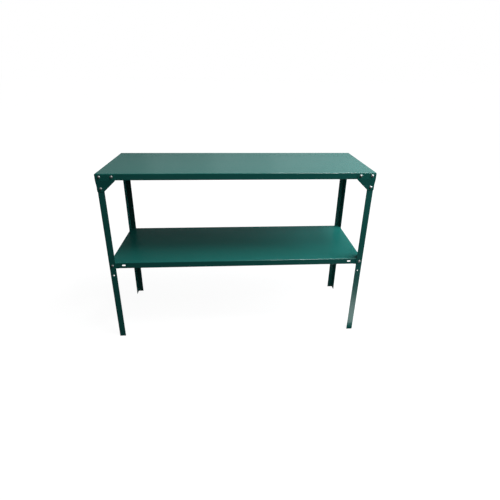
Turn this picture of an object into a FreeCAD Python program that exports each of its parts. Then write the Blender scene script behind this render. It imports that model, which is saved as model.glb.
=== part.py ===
import FreeCAD, Part
import math
import os

# A two-tier steel potting bench. Two pressed trays are bolted to four angle legs, and a
# gusset plate ties the top tray to each face of each leg. Millimetres, +Z up, the front
# faces -Y. The origin is on the floor, in the middle of the bench's footprint.

Vector = FreeCAD.Vector

# ---- Overall sizes ----
WIDTH = 1068.0              # outside of the top tray, along X
DEPTH = 315.0               # outside of the top tray, along Y
HEIGHT = 766.0              # floor to the top deck
SHELF_HEIGHT = 380.0        # floor to the lower deck

# ---- Trays ----
TRAY_SHEET = 1.0
TRAY_BEND = 2.0             # outer radius of every fold in a tray
FLANGE_HEIGHT = 26.5        # turned-down edge, from the deck's top
LIP_WIDTH = 8.0             # return lip along the foot of the flange
LIP_TO_LEG = 5.5            # from a leg's edge to the end of a lip
TAB_FOOT_GAP = 0.5          # a lapped tab stops this far above the foot of the flange
SEAM_SETBACK = 3.0          # from the tray's corner to the edge of the lapped flange
SEAM_WIDTH = 0.6
SEAM_DEPTH = 0.5

# ---- Legs ----
LEG_SIDE = 26.0             # width of each face of the angle
LEG_SHEET = 1.2
LEG_BEND = 2.4              # outer radius of the angle's fold
TRAY_TO_LEG = 0.5           # clearance between a tray's flange and the leg's face
DECK_TO_LEG = 0.3           # clearance between the top deck's underside and the leg's end

# ---- Gussets ----
GUSSET_END = 26.0           # width of the plate's two cut ends
GUSSET_MARGIN = 12.0        # from a hole's centre to the end of the plate
GUSSET_SHEET = 1.2
GUSSET_INSET = 2.0          # from the tray's top and corner to the plate's edges
GUSSET_CORNER = 2.0         # rounding of the plate's corners
JOGGLE_START = 1.0          # the plate starts to slope in this far below the tray's flange
JOGGLE_TO_HEAD = 3.0        # from the end of the slope to the head of the bolt in the leg

# ---- Holes, the same pattern on every face ----
HOLE_DROP = 12.0            # from a deck's top to the row of holes
PITCH_ALONG = 45.0          # to the next hole along the tray
PITCH_DOWN = 47.0           # to the next hole down the leg
HOLE_CLEARANCE = 1.0        # on the bolt's diameter
SLOT_LENGTH = 15.0          # end to end, along the flange

# ---- Fasteners ----
BOLT_DIAMETER = 6.0
BOLT_LENGTH = 10.0          # under the head
BOLT_PASSING = 0.5          # between the end of one bolt and the side of its neighbour
HEAD_DIAMETER = 10.5
HEAD_HEIGHT = 3.2
HEAD_RIM = 1.1              # height of the head's straight edge
CROWN_OUT = 0.62            # where the crown swells most: share of the radius
CROWN_UP = 0.74             # and share of the crown's height
RECESS_SPAN = 5.4
RECESS_WIDTH = 1.3
RECESS_DEPTH = 1.7
RECESS_TURN = 37.0          # degrees from one bolt's cross recess to the next
NUT_ACROSS_FLATS = 10.0
NUT_HEIGHT = 5.0
NUT_CHAMFER = 0.6
THREAD_CLEARANCE = 0.05     # radial, between bolt and nut

PAST = 1.0                  # how far a cutting tool runs past what it cuts

# ---- Places that follow from the sizes ----
# A leg stands inside the top tray: behind the flange at the front and back, and behind the
# flange and its lapped tab at the ends.
LEG_X = WIDTH / 2 - 2 * TRAY_SHEET - TRAY_TO_LEG    # leg's outer end face
LEG_Y = DEPTH / 2 - TRAY_SHEET - TRAY_TO_LEG        # leg's outer front or back face
LEG_TOP = HEIGHT - TRAY_SHEET - DECK_TO_LEG

# The lower tray stands inside the legs.
SHELF_WIDTH = 2 * (LEG_X - LEG_SHEET - TRAY_TO_LEG)
SHELF_DEPTH = 2 * (LEG_Y - LEG_SHEET - TRAY_TO_LEG)

# Two bolts meet at a right angle inside each leg, so the holes stand further from the
# leg's outer edge than a bolt reaches.
HOLE_DIAMETER = BOLT_DIAMETER + HOLE_CLEARANCE
HOLE_INSET = BOLT_LENGTH + BOLT_DIAMETER / 2 + BOLT_PASSING

# Columns and rows of holes, measured from the middle of the bench and from the floor.
COLUMN_X = LEG_X - HOLE_INSET
COLUMN_Y = LEG_Y - HOLE_INSET
SLOT_X = COLUMN_X - PITCH_ALONG
SLOT_Y = COLUMN_Y - PITCH_ALONG
TOP_ROW = HEIGHT - HOLE_DROP
SHELF_ROW = SHELF_HEIGHT - HOLE_DROP

# Distances along a tray's edges, measured from its corner.
TAB_LENGTH = DEPTH / 2 - LEG_Y + LEG_SIDE
LIP_SETBACK = WIDTH / 2 - LEG_X + LEG_SIDE + LIP_TO_LEG

FRONT = Vector(0, -1, 0)
LEFT = Vector(-1, 0, 0)

CORNERS = {
    "front_left": (-1, -1),
    "front_right": (1, -1),
    "back_left": (-1, 1),
    "back_right": (1, 1),
}


# ---- Helpers ----

def box(low, high):
    """A box from its lowest to its highest corner."""
    size = [high[i] - low[i] for i in range(3)]
    return Part.makeBox(size[0], size[1], size[2], Vector(*low))


def prism(points, depth):
    """A straight prism on a closed outline of points."""
    wire = Part.makePolygon(points + [points[0]])
    return Part.Face(wire).extrude(depth)


def to_corner(shape, corner):
    """Mirror a piece of the front left corner to another corner."""
    side_x, side_y = CORNERS[corner]
    if side_x > 0:
        shape = shape.mirror(Vector(0, 0, 0), Vector(1, 0, 0))
    if side_y > 0:
        shape = shape.mirror(Vector(0, 0, 0), Vector(0, 1, 0))
    return shape


def in_all_corners(shape):
    """Copies of a front left piece in all four corners."""
    return [to_corner(shape, corner) for corner in CORNERS]


def angle_section(arm_x, arm_y, sheet, bend):
    """An L of sheet metal in the XY plane, its outer corner at the origin."""
    inner = bend - sheet
    half = math.sqrt(0.5)
    outer_mid = Vector(bend - bend * half, bend - bend * half, 0)
    inner_mid = Vector(bend - inner * half, bend - inner * half, 0)
    p = [
        Vector(bend, 0, 0), Vector(arm_x, 0, 0), Vector(arm_x, sheet, 0), Vector(bend, sheet, 0),
        Vector(sheet, bend, 0), Vector(sheet, arm_y, 0), Vector(0, arm_y, 0), Vector(0, bend, 0),
    ]
    edges = [
        Part.LineSegment(p[0], p[1]), Part.LineSegment(p[1], p[2]), Part.LineSegment(p[2], p[3]),
        Part.Arc(p[3], inner_mid, p[4]),
        Part.LineSegment(p[4], p[5]), Part.LineSegment(p[5], p[6]), Part.LineSegment(p[6], p[7]),
        Part.Arc(p[7], outer_mid, p[0]),
    ]
    return Part.Face(Part.Wire([edge.toShape() for edge in edges]))


def drill(place, direction, diameter, depth):
    """A round cutter that starts outside the face at place and runs inwards."""
    start = place + direction * PAST
    return Part.makeCylinder(diameter / 2, depth + PAST, start, direction * -1)


def slot_cutter(place, direction, along, depth):
    """A cutter with round ends, as long as the slot, centred on place."""
    reach = along * ((SLOT_LENGTH - HOLE_DIAMETER) / 2)
    radius = HOLE_DIAMETER / 2
    ends = [drill(place + step, direction, HOLE_DIAMETER, depth) for step in (reach, reach * -1)]
    up = Vector(0, 0, radius)
    start = place + direction * PAST
    outline = [start - reach - up, start + reach - up, start + reach + up, start - reach + up]
    middle = prism(outline, direction * -(depth + PAST))
    return ends[0].fuse([ends[1], middle])


# ---- Trays ----

def rounded_block(width, depth, top, bottom, radius):
    """A block centred on the origin, with its top and upright edges rounded."""
    block = box((-width / 2, -depth / 2, bottom), (width / 2, depth / 2, top))
    edges = []
    for edge in block.Edges:
        heights = [vertex.Z for vertex in edge.Vertexes]
        upright = abs(heights[0] - heights[1]) > radius
        if upright or min(heights) > top - radius:
            edges.append(edge)
    return block.makeFillet(radius, edges)


def lip_strip(length):
    """The fold at the foot of a flange and its return lip, along local Z, centred."""
    section = angle_section(LIP_WIDTH, 2 * TRAY_BEND, TRAY_SHEET, TRAY_BEND)
    strip = section.extrude(Vector(0, 0, length))
    strip.translate(Vector(0, 0, -length / 2))
    return strip


def tray(width, depth, top):
    """A pressed tray: deck, turned-down flanges, return lips and lapped corner tabs."""
    foot = top - FLANGE_HEIGHT
    shell = rounded_block(width, depth, top, foot, TRAY_BEND)
    hollow = rounded_block(width - 2 * TRAY_SHEET, depth - 2 * TRAY_SHEET,
                           top - TRAY_SHEET, foot - PAST, TRAY_BEND - TRAY_SHEET)
    shell = shell.cut(hollow)

    # Each lip replaces the lowest stretch of the flange between two corners.
    long_run = width - 2 * LIP_SETBACK
    short_run = depth - 2 * LIP_SETBACK
    level = foot + 2 * TRAY_BEND
    clearing = [
        box((-long_run / 2, -depth / 2 - PAST, foot - PAST), (long_run / 2, depth / 2 + PAST, level)),
        box((-width / 2 - PAST, -short_run / 2, foot - PAST), (width / 2 + PAST, short_run / 2, level)),
    ]
    shell = shell.cut(clearing)

    front = lip_strip(long_run)
    front.Placement = FreeCAD.Placement(Vector(0, -depth / 2, foot),
                                        FreeCAD.Rotation(Vector(1, 1, 1), 120))
    front = front.translated(Vector(-long_run / 2 - front.BoundBox.XMin, 0, 0))
    left = lip_strip(short_run)
    left.Placement = FreeCAD.Placement(Vector(-width / 2, 0, foot),
                                       FreeCAD.Rotation(Vector(1, 0, 0), 90))
    left = left.translated(Vector(0, -short_run / 2 - left.BoundBox.YMin, 0))
    back = front.mirror(Vector(0, 0, 0), Vector(0, 1, 0))
    right = left.mirror(Vector(0, 0, 0), Vector(1, 0, 0))

    # The front and back flanges end in tabs, folded round behind the end flanges.
    inside = width / 2 - TRAY_SHEET
    tab = box((-inside - TRAY_SHEET / 2, -depth / 2 + TRAY_SHEET / 2, foot + TAB_FOOT_GAP),
              (-inside + TRAY_SHEET, -depth / 2 + TAB_LENGTH, top - TRAY_SHEET / 2))
    shell = shell.fuse([front, back, left, right] + in_all_corners(tab))

    # A fine upright seam shows where each end flange laps its tab.
    seam_y = -depth / 2 + SEAM_SETBACK
    seam = box((-width / 2 - PAST, seam_y, foot - PAST),
               (-width / 2 + SEAM_DEPTH, seam_y + SEAM_WIDTH, top - TRAY_BEND))
    shell = shell.cut(in_all_corners(seam))

    # Holes for the legs, and slots for the gussets, at every corner.
    row = top - HOLE_DROP
    wall = 3 * TRAY_SHEET
    front_hole = drill(Vector(-COLUMN_X, -depth / 2, row), FRONT, HOLE_DIAMETER, wall)
    left_hole = drill(Vector(-width / 2, -COLUMN_Y, row), LEFT, HOLE_DIAMETER, wall)
    front_slot = slot_cutter(Vector(-SLOT_X, -depth / 2, row), FRONT, Vector(1, 0, 0), wall)
    left_slot = slot_cutter(Vector(-width / 2, -SLOT_Y, row), LEFT, Vector(0, 1, 0), wall)
    cutters = []
    for cutter in (front_hole, left_hole, front_slot, left_slot):
        cutters += in_all_corners(cutter)
    return shell.cut(cutters).removeSplitter()


# ---- Legs ----

def leg():
    """The front left leg, an angle with a column of holes down each face."""
    section = angle_section(LEG_SIDE, LEG_SIDE, LEG_SHEET, LEG_BEND)
    body = section.extrude(Vector(0, 0, LEG_TOP))
    body.translate(Vector(-LEG_X, -LEG_Y, 0))
    heights = []
    for row in (TOP_ROW, SHELF_ROW):
        heights += [row, row - PITCH_DOWN]
    cutters = []
    for height in heights:
        front_place = Vector(-COLUMN_X, -LEG_Y, height)
        left_place = Vector(-LEG_X, -COLUMN_Y, height)
        cutters.append(drill(front_place, FRONT, HOLE_DIAMETER, 2 * LEG_SHEET))
        cutters.append(drill(left_place, LEFT, HOLE_DIAMETER, 2 * LEG_SHEET))
    return body.cut(cutters)


# ---- Gussets ----

def gusset(step, hole_column):
    """A gusset plate in local axes: X runs in from the corner, Y inwards, Z up from the floor.

    X and Y are 0 at the tray's corner and outer face. The plate lies on the tray's flange,
    slopes gently in by step below it, and lies on the leg at its lower bolt."""
    top = HEIGHT - GUSSET_INSET
    foot = TOP_ROW - PITCH_DOWN - GUSSET_MARGIN
    near = GUSSET_INSET
    far = hole_column + PITCH_ALONG + GUSSET_MARGIN
    start = HEIGHT - FLANGE_HEIGHT - JOGGLE_START
    end = TOP_ROW - PITCH_DOWN + HEAD_DIAMETER / 2 + JOGGLE_TO_HEAD
    profile = [
        Vector(near, -GUSSET_SHEET, top), Vector(near, -GUSSET_SHEET, start),
        Vector(near, step - GUSSET_SHEET, end), Vector(near, step - GUSSET_SHEET, foot),
        Vector(near, step, foot), Vector(near, step, end),
        Vector(near, 0, start), Vector(near, 0, top),
    ]
    plate = prism(profile, Vector(far - near, 0, 0))

    front = -GUSSET_SHEET - PAST
    outline = [
        Vector(near, front, top), Vector(far, front, top), Vector(far, front, top - GUSSET_END),
        Vector(near + GUSSET_END, front, foot), Vector(near, front, foot),
    ]
    blank = prism(outline, Vector(0, step - front + PAST, 0))
    across = [edge for edge in blank.Edges if abs(edge.Vertexes[0].Y - edge.Vertexes[1].Y) > PAST]
    plate = plate.common(blank.makeFillet(GUSSET_CORNER, across))

    inwards = Vector(0, -1, 0)
    places = [
        Vector(hole_column, -GUSSET_SHEET, TOP_ROW),
        Vector(hole_column + PITCH_ALONG, -GUSSET_SHEET, TOP_ROW),
        Vector(hole_column, -GUSSET_SHEET, TOP_ROW - PITCH_DOWN),
    ]
    depth = step + 2 * GUSSET_SHEET
    return plate.cut([drill(place, inwards, HOLE_DIAMETER, depth) for place in places])


def face_gusset():
    """The gusset on the front face of the front left corner."""
    plate = gusset(DEPTH / 2 - LEG_Y, WIDTH / 2 - COLUMN_X)
    return plate.translated(Vector(-WIDTH / 2, -DEPTH / 2, 0))


def side_gusset():
    """The gusset on the end face of the front left corner."""
    plate = gusset(WIDTH / 2 - LEG_X, DEPTH / 2 - COLUMN_Y)
    # Swapping X and Y turns the plate from the front face to the end face.
    plate = plate.mirror(Vector(0, 0, 0), Vector(1, -1, 0))
    return plate.translated(Vector(-WIDTH / 2, -DEPTH / 2, 0))


# ---- Fasteners ----

def bolt():
    """A pan head bolt along Z, seated at z = 0, with a cross recess."""
    radius = HEAD_DIAMETER / 2
    crown = Vector(0, 0, HEAD_HEIGHT)
    rim = Vector(radius, 0, HEAD_RIM)
    swell = Vector(radius * CROWN_OUT, 0, HEAD_RIM + (HEAD_HEIGHT - HEAD_RIM) * CROWN_UP)
    centre = Vector(0, 0, 0)
    edge = Vector(radius, 0, 0)
    outline = [
        Part.LineSegment(centre, edge), Part.LineSegment(edge, rim),
        Part.Arc(rim, swell, crown), Part.LineSegment(crown, centre),
    ]
    face = Part.Face(Part.Wire([piece.toShape() for piece in outline]))
    head = face.revolve(centre, Vector(0, 0, 1), 360)
    floor = HEAD_HEIGHT - RECESS_DEPTH
    arm = box((-RECESS_SPAN / 2, -RECESS_WIDTH / 2, floor),
              (RECESS_SPAN / 2, RECESS_WIDTH / 2, HEAD_HEIGHT + PAST))
    other = arm.copy()
    other.rotate(centre, Vector(0, 0, 1), 90)
    shank = Part.makeCylinder(BOLT_DIAMETER / 2, BOLT_LENGTH, centre, Vector(0, 0, -1))
    return head.fuse(shank).cut([arm, other])


def nut():
    """A hexagon nut below z = 0, around the bolt's axis."""
    corner = NUT_ACROSS_FLATS / math.sqrt(3)
    angles = [math.radians(60 * i) for i in range(6)]
    points = [Vector(corner * math.cos(angle), corner * math.sin(angle), 0) for angle in angles]
    block = prism(points, Vector(0, 0, -NUT_HEIGHT))
    turned = Part.makeCylinder(corner, NUT_HEIGHT, Vector(0, 0, -NUT_HEIGHT))
    turned = turned.makeChamfer(NUT_CHAMFER, [edge for edge in turned.Edges if len(edge.Vertexes) == 1])
    bore = Part.makeCylinder(BOLT_DIAMETER / 2 + THREAD_CLEARANCE, NUT_HEIGHT + 2 * PAST,
                             Vector(0, 0, -NUT_HEIGHT - PAST))
    return block.common(turned).cut(bore)


def seat(shape, place, direction):
    """Put a fastener at place: its local Z points out along direction, its local X up."""
    up = Vector(0, 0, 1)
    turn = FreeCAD.Rotation(up, direction.cross(up), direction, "XYZ")
    moved = shape.copy()
    moved.Placement = FreeCAD.Placement(place, turn)
    return moved


def joint(place, direction, stack):
    """Where a bolt's head and its nut seat, on both sides of a stack of sheets."""
    return (place, place - direction * stack, direction)


def top_joints():
    """The six bolted joints of the top front left corner."""
    face = -DEPTH / 2
    end = -WIDTH / 2
    to_leg_y = DEPTH / 2 - LEG_Y
    to_leg_x = WIDTH / 2 - LEG_X
    lower = TOP_ROW - PITCH_DOWN
    plate = GUSSET_SHEET
    return [
        joint(Vector(-COLUMN_X, face - plate, TOP_ROW), FRONT, plate + to_leg_y + LEG_SHEET),
        joint(Vector(-SLOT_X, face - plate, TOP_ROW), FRONT, plate + TRAY_SHEET),
        joint(Vector(-COLUMN_X, -LEG_Y - plate, lower), FRONT, plate + LEG_SHEET),
        joint(Vector(end - plate, -COLUMN_Y, TOP_ROW), LEFT, plate + to_leg_x + LEG_SHEET),
        joint(Vector(end - plate, -SLOT_Y, TOP_ROW), LEFT, plate + TRAY_SHEET),
        joint(Vector(-LEG_X - plate, -COLUMN_Y, lower), LEFT, plate + LEG_SHEET),
    ]


def shelf_joints():
    """The two bolted joints between the front left leg and the lower tray."""
    stack_y = LEG_Y - SHELF_DEPTH / 2 + TRAY_SHEET
    stack_x = LEG_X - SHELF_WIDTH / 2 + 2 * TRAY_SHEET
    return [
        joint(Vector(-COLUMN_X, -LEG_Y, SHELF_ROW), FRONT, stack_y),
        joint(Vector(-LEG_X, -COLUMN_Y, SHELF_ROW), LEFT, stack_x),
    ]


def bolts(joints):
    """One compound of the bolts of a group of joints."""
    placed = []
    for number, (head_place, nut_place, direction) in enumerate(joints):
        placed.append(seat(bolt(), head_place, direction))
        placed[-1].rotate(head_place, direction, RECESS_TURN * number)
    return Part.makeCompound(placed)


def nuts(joints):
    """One compound of the nuts of a group of joints."""
    return Part.makeCompound([seat(nut(), nut_place, direction)
                              for head_place, nut_place, direction in joints])


# ---- The bench ----

def build():
    """Every piece of the bench, by the name of its node."""
    nodes = {
        "top_tray": tray(WIDTH, DEPTH, HEIGHT),
        "lower_tray": tray(SHELF_WIDTH, SHELF_DEPTH, SHELF_HEIGHT),
    }
    corner_pieces = {
        "leg": leg(),
        "face_gusset": face_gusset(),
        "side_gusset": side_gusset(),
        "top_bolts": bolts(top_joints()),
        "top_nuts": nuts(top_joints()),
        "shelf_bolts": bolts(shelf_joints()),
        "shelf_nuts": nuts(shelf_joints()),
    }
    for kind, shape in corner_pieces.items():
        for corner in CORNERS:
            nodes[kind + "_" + corner] = to_corner(shape, corner)
    return nodes


os.makedirs("parts", exist_ok=True)
for name, shape in build().items():
    shape.exportStep("parts/" + name + ".step")
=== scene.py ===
import math

import bmesh
import bpy
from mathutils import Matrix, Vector

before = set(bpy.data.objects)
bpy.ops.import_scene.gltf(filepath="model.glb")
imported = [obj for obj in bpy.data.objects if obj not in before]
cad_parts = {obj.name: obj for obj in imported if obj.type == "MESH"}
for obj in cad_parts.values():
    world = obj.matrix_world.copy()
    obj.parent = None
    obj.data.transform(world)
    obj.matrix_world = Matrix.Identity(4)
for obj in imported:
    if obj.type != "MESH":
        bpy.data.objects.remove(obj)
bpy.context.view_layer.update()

# A two-tier steel potting bench in dark green powder coat, with zinc plated bolts.
# Metres, in the CAD model's frame: +Z up, the front faces -Y.

SCENE = bpy.context.scene

# ---- Colours, linear ----
WHITE = (1.0, 1.0, 1.0)
COOL = (0.93, 1.0, 1.06)            # daylight from the bench's right
SKY = (0.95, 0.98, 1.0)
PAINT = (0.0046, 0.0600, 0.0510)
PAINT_PALE = (0.0064, 0.0670, 0.0575)
PAINT_DEEP = (0.0041, 0.0565, 0.0478)
PAINT_DUST = (0.0180, 0.1100, 0.0960)
ZINC = (0.30, 0.31, 0.30)
ZINC_DULL = (0.22, 0.225, 0.22)
FLOOR_TONE = (0.050, 0.050, 0.050)
FLOOR_TONE_PALE = (0.060, 0.060, 0.060)

# ---- Paint and plating ----
# A scale is the noise's own, about features per metre. A band is the part of a noise's range in
# use. A bump is its strength and its depth in metres.
NOISE_BAND = (0.3, 0.7)
SHEET_GLOSS = 0.24                  # roughness of the pressed trays and plates
ANGLE_GLOSS = 0.31                  # and of the legs
GLOSS_SPREAD = 0.03
PAINT_IOR = 1.5
PAINT_SPECULAR = 0.4
DRIFT_SCALE = 5.0
PEEL_SCALE = 430.0
PEEL_BUMP = (0.03, 0.0002)
SPECKLE_SCALE = 1400.0
SPECKLE_BAND = (0.35, 0.70)
SPECKLE_AMOUNT = 0.45
SPECKLE_BUMP = (0.02, 0.0001)
DUST_SCALE = 520.0
DUST_BAND = (0.62, 0.80)
DUST_AMOUNT = 0.12
PATCH_SCALE = 260.0
PATCH_BAND = (0.40, 0.68)
STREAK_SCALE = 500.0
STREAK_STRETCH = (1.0, 1.0, 6.0)
STREAK_BUMP = (0.25, 0.0001)
ZINC_METALLIC = 0.85
ZINC_ROUGHNESS = (0.44, 0.60)

# ---- Floor ----
FLOOR_SIDE = 60.0
FLOOR_DROP = 0.0005                 # below the feet, so that the two never share a plane
FLOOR_SCALE = 0.6
FLOOR_ROUGHNESS = 0.9
FLOOR_SPECULAR = 0.1
FLOOR_GLOW = 0.94                   # near the bench, where it keeps the shadow pale
GLOW_REACH = (0.7, 2.0)             # distances over which the floor's own light rises to full

# ---- Lamps: name, place, target, size, power, colour ----
LAMPS = (
    ("overhead", (0.92, -0.55, 3.0), (0.5, -0.2, 0.4), (1.4, 0.3), 128.0, WHITE),
    ("front_high", (1.7, -2.0, 3.4), (0.2, 0.0, 0.5), (3.2, 2.0), 76.0, WHITE),
    ("right", (1.5, -0.1, 1.2), (0.2, 0.0, 0.5), (0.8, 1.4), 54.0, COOL),
    ("foot", (0.56, -0.275, 0.002), (0.56, -0.275, 1.0), (0.5, 0.17), 0.85, WHITE),
)

# ---- Soft fills: name, place, power ----
FILL_TARGET = (0.0, 0.0, 0.5)
FILL_SIZE = (2.6, 1.4)
FILLS = (
    ("back_fill", (-0.6, 3.0, 0.9), 45.0),
    ("left_fill", (-3.0, 0.3, 0.9), 36.0),
    ("under_fill", (0.3, -0.3, -1.6), 14.0),
)
SKY_STRENGTH = 0.03                 # what the bench gets from the surroundings

# ---- Cards behind the bench, which the decks mirror ----
CARD_LEFT = -9.0
CARD_RIGHT = 9.0
STEP_LEFTS = (-2.4, -0.6, 1.2)      # from each of these to the right another pair is added
STEP_SPACING = 0.05
WALL_SPAN = (0.0, 3.6)              # the lowest and the highest point
WALL_DISTANCE = 8.0
WALL_GLOW = 0.050
WALL_STEP_GLOW = 0.045
BAND_SPAN = (2.85, 3.50)
BAND_DISTANCE = 7.6
BAND_GLOW = 0.74
BAND_STEP_GLOW = 0.27

# ---- Camera ----
SENSOR_WIDTH = 36.0                 # millimetres, as is the focal length
FOCAL_LENGTH = 23.083
SHIFT_X, SHIFT_Y = 0.00286, -0.13061
CAMERA_PLACE = (-0.0300, -1.3107, 1.1381)
CAMERA_TURN = (70.114, -0.759, -3.091)      # degrees


# ---- Node helpers ----

class Graph:
    """A material's nodes, with short calls for the ones used here."""

    def __init__(self, name):
        self.material = bpy.data.materials.new(name)
        self.material.use_nodes = True
        self.tree = self.material.node_tree
        self.tree.nodes.clear()
        self.out = self.add("ShaderNodeOutputMaterial")
        self.shader = self.add("ShaderNodeBsdfPrincipled")
        self.link(self.shader.outputs[0], self.out.inputs[0])
        self.place = self.add("ShaderNodeTexCoord").outputs["Object"]

    def add(self, kind, **settings):
        node = self.tree.nodes.new(kind)
        for key, value in settings.items():
            setattr(node, key, value)
        return node

    def link(self, source, target):
        self.tree.links.new(source, target)

    def feed(self, socket, value):
        """Link an output to the socket, or set the socket to a plain value."""
        if hasattr(value, "node"):
            self.link(value, socket)
        else:
            socket.default_value = value

    def noise(self, scale, detail, roughness=0.5, place=None):
        node = self.add("ShaderNodeTexNoise")
        self.link(place or self.place, node.inputs["Vector"])
        node.inputs["Scale"].default_value = scale
        node.inputs["Detail"].default_value = detail
        node.inputs["Roughness"].default_value = roughness
        return node.outputs["Fac"]

    def stretched(self, scale):
        node = self.add("ShaderNodeMapping")
        self.link(self.place, node.inputs["Vector"])
        node.inputs["Scale"].default_value = scale
        return node.outputs[0]

    def spread(self, value, band, result=(0.0, 1.0)):
        """Map the band to the result, clamped."""
        node = self.add("ShaderNodeMapRange")
        self.link(value, node.inputs[0])
        for number, limit in enumerate((*band, *result), 1):
            node.inputs[number].default_value = limit
        return node.outputs[0]

    def mix(self, factor, first, second):
        node = self.add("ShaderNodeMix", data_type="RGBA")
        colours = [socket for socket in node.inputs if socket.type == "RGBA"]
        self.feed(node.inputs[0], factor)
        for socket, value in zip(colours, (first, second)):
            self.feed(socket, value if hasattr(value, "node") else (*value, 1.0))
        return next(socket for socket in node.outputs if socket.type == "RGBA")

    def bump(self, height, strength, distance, below=None):
        node = self.add("ShaderNodeBump")
        self.link(height, node.inputs["Height"])
        node.inputs["Strength"].default_value = strength
        node.inputs["Distance"].default_value = distance
        if below is not None:
            self.link(below, node.inputs["Normal"])
        return node.outputs[0]

    def set(self, name, value):
        self.feed(self.shader.inputs[name], value)


# ---- Materials ----

def powder_coat(name, gloss):
    """Satin powder coat: fine orange peel, a faint speckle, and a slow drift in its depth."""
    graph = Graph(name)
    drift = graph.noise(DRIFT_SCALE, 2.0)
    speckle = graph.noise(SPECKLE_SCALE, 2.0, 0.6)
    dust = graph.noise(DUST_SCALE, 3.0, 0.7)
    body = graph.mix(graph.spread(drift, NOISE_BAND), PAINT_DEEP, PAINT)
    body = graph.mix(graph.spread(speckle, SPECKLE_BAND, (0.0, SPECKLE_AMOUNT)), body, PAINT_PALE)
    body = graph.mix(graph.spread(dust, DUST_BAND, (0.0, DUST_AMOUNT)), body, PAINT_DUST)
    graph.set("Base Color", body)
    roughness = (gloss - GLOSS_SPREAD, gloss + GLOSS_SPREAD)
    graph.set("Roughness", graph.spread(speckle, NOISE_BAND, roughness))
    graph.set("IOR", PAINT_IOR)
    graph.set("Specular IOR Level", PAINT_SPECULAR)
    peel = graph.bump(graph.noise(PEEL_SCALE, 1.5), *PEEL_BUMP)
    graph.set("Normal", graph.bump(speckle, *SPECKLE_BUMP, peel))
    return graph.material


def zinc_plate(name):
    """Zinc plating: brushed streaks and duller patches."""
    graph = Graph(name)
    patches = graph.noise(PATCH_SCALE, 4.0, 0.6)
    streaks = graph.noise(STREAK_SCALE, 3.0, 0.6, graph.stretched(STREAK_STRETCH))
    graph.set("Base Color", graph.mix(graph.spread(patches, PATCH_BAND), ZINC, ZINC_DULL))
    graph.set("Metallic", ZINC_METALLIC)
    graph.set("Roughness", graph.spread(patches, NOISE_BAND, ZINC_ROUGHNESS))
    graph.set("Normal", graph.bump(streaks, *STREAK_BUMP))
    return graph.material


def finish_nodes():
    """Every CAD node gets its material in its own slots."""
    sheet = powder_coat("green_sheet", SHEET_GLOSS)
    angle = powder_coat("green_angle", ANGLE_GLOSS)
    zinc = zinc_plate("zinc_plated")
    for name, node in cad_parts.items():
        if "bolts" in name or "nuts" in name:
            material = zinc
        elif name.startswith("leg"):
            material = angle
        else:
            material = sheet
        slots = node.material_slots
        if not slots:
            node.data.materials.append(material)
        for slot in slots:
            slot.material = material


# ---- Studio ----

def plane(name, size, centre):
    mesh = bpy.data.meshes.new(name)
    form = bmesh.new()
    bmesh.ops.create_grid(form, x_segments=1, y_segments=1, size=size / 2)
    form.to_mesh(mesh)
    form.free()
    piece = bpy.data.objects.new(name, mesh)
    piece.location = centre
    SCENE.collection.objects.link(piece)
    return piece


def floor():
    """A plain pale floor with a faint shadow, clear from below. It doesn't light the bench."""
    piece = plane("floor", FLOOR_SIDE, (0.0, 0.0, -FLOOR_DROP))
    graph = Graph("pale_floor")
    drift = graph.spread(graph.noise(FLOOR_SCALE, 2.0), NOISE_BAND)
    tone = graph.mix(drift, FLOOR_TONE, FLOOR_TONE_PALE)
    distance = graph.add("ShaderNodeVectorMath", operation="LENGTH")
    graph.link(graph.place, distance.inputs[0])
    glow = graph.spread(distance.outputs["Value"], GLOW_REACH, (FLOOR_GLOW, 1.0))
    graph.set("Base Color", tone)
    graph.set("Roughness", FLOOR_ROUGHNESS)
    graph.set("Specular IOR Level", FLOOR_SPECULAR)
    graph.set("Emission Color", (*WHITE, 1.0))
    graph.set("Emission Strength", glow)
    piece.data.materials.append(graph.material)
    piece.visible_diffuse = False
    piece.visible_glossy = False
    piece.visible_shadow = False
    clear = graph.add("ShaderNodeBsdfTransparent")
    sides = graph.add("ShaderNodeMixShader")
    graph.link(graph.add("ShaderNodeNewGeometry").outputs["Backfacing"], sides.inputs[0])
    graph.link(graph.shader.outputs[0], sides.inputs[1])
    graph.link(clear.outputs[0], sides.inputs[2])
    graph.link(sides.outputs[0], graph.out.inputs[0])


def softbox(name, place, target, size, power, colour=WHITE):
    light = bpy.data.lights.new(name, "AREA")
    light.shape = "RECTANGLE"
    light.size, light.size_y = size
    light.energy = power
    light.color = colour
    piece = bpy.data.objects.new(name, light)
    piece.location = place
    direction = Vector(target) - Vector(place)
    piece.rotation_euler = direction.to_track_quat("-Z", "Y").to_euler()
    piece.visible_camera = False
    SCENE.collection.objects.link(piece)
    return piece


def card(name, left, span, distance, radiance, colour=WHITE):
    """A bright card behind the bench. No two share a plane, or one hides the other."""
    low, high = span
    width, height = CARD_RIGHT - left, high - low
    x, z = (CARD_RIGHT + left) / 2, (high + low) / 2
    power = radiance * math.pi * width * height
    softbox(name, (x, distance, z), (x, 0.0, z), (width, height), power, colour)


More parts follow.
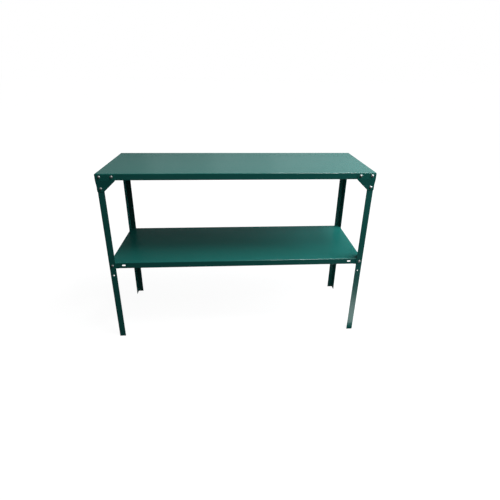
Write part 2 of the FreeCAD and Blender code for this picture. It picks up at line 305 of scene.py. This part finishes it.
def surroundings():
    """White for the camera, and a dim sky for the bench."""
    world = bpy.data.worlds.new("studio")
    SCENE.world = world
    world.use_nodes = True
    nodes = world.node_tree.nodes
    nodes.clear()
    links = world.node_tree.links
    out = nodes.new("ShaderNodeOutputWorld")
    seen = nodes.new("ShaderNodeBackground")
    seen.inputs[0].default_value = (*WHITE, 1.0)
    seen.inputs[1].default_value = 1.0
    felt = nodes.new("ShaderNodeBackground")
    felt.inputs[0].default_value = (*SKY, 1.0)
    felt.inputs[1].default_value = SKY_STRENGTH
    ray = nodes.new("ShaderNodeLightPath")
    mix = nodes.new("ShaderNodeMixShader")
    links.new(ray.outputs["Is Camera Ray"], mix.inputs[0])
    links.new(felt.outputs[0], mix.inputs[1])
    links.new(seen.outputs[0], mix.inputs[2])
    links.new(mix.outputs[0], out.inputs[0])


def lights():
    """Soft lamps above and to the right, the cards, and fills for the far sides."""
    for lamp in LAMPS:
        softbox(*lamp)
    card("wall", CARD_LEFT, WALL_SPAN, WALL_DISTANCE, WALL_GLOW)
    card("band", CARD_LEFT, BAND_SPAN, BAND_DISTANCE, BAND_GLOW)
    for step, left in enumerate(STEP_LEFTS):
        nearer = STEP_SPACING * (step + 1)
        card("wall_step_%d" % step, left, WALL_SPAN, WALL_DISTANCE - nearer, WALL_STEP_GLOW, COOL)
        card("band_step_%d" % step, left, BAND_SPAN, BAND_DISTANCE - nearer, BAND_STEP_GLOW, COOL)
    for name, place, power in FILLS:
        softbox(name, place, FILL_TARGET, FILL_SIZE, power).visible_glossy = False


def camera():
    lens = bpy.data.cameras.new("camera")
    lens.sensor_width = SENSOR_WIDTH
    lens.sensor_fit = "HORIZONTAL"
    lens.lens = FOCAL_LENGTH
    lens.shift_x = SHIFT_X
    lens.shift_y = SHIFT_Y
    piece = bpy.data.objects.new("camera", lens)
    piece.location = CAMERA_PLACE
    piece.rotation_euler = [math.radians(angle) for angle in CAMERA_TURN]
    SCENE.collection.objects.link(piece)
    SCENE.camera = piece


finish_nodes()
floor()
surroundings()
lights()
camera()
SCENE.view_settings.view_transform = "Standard"
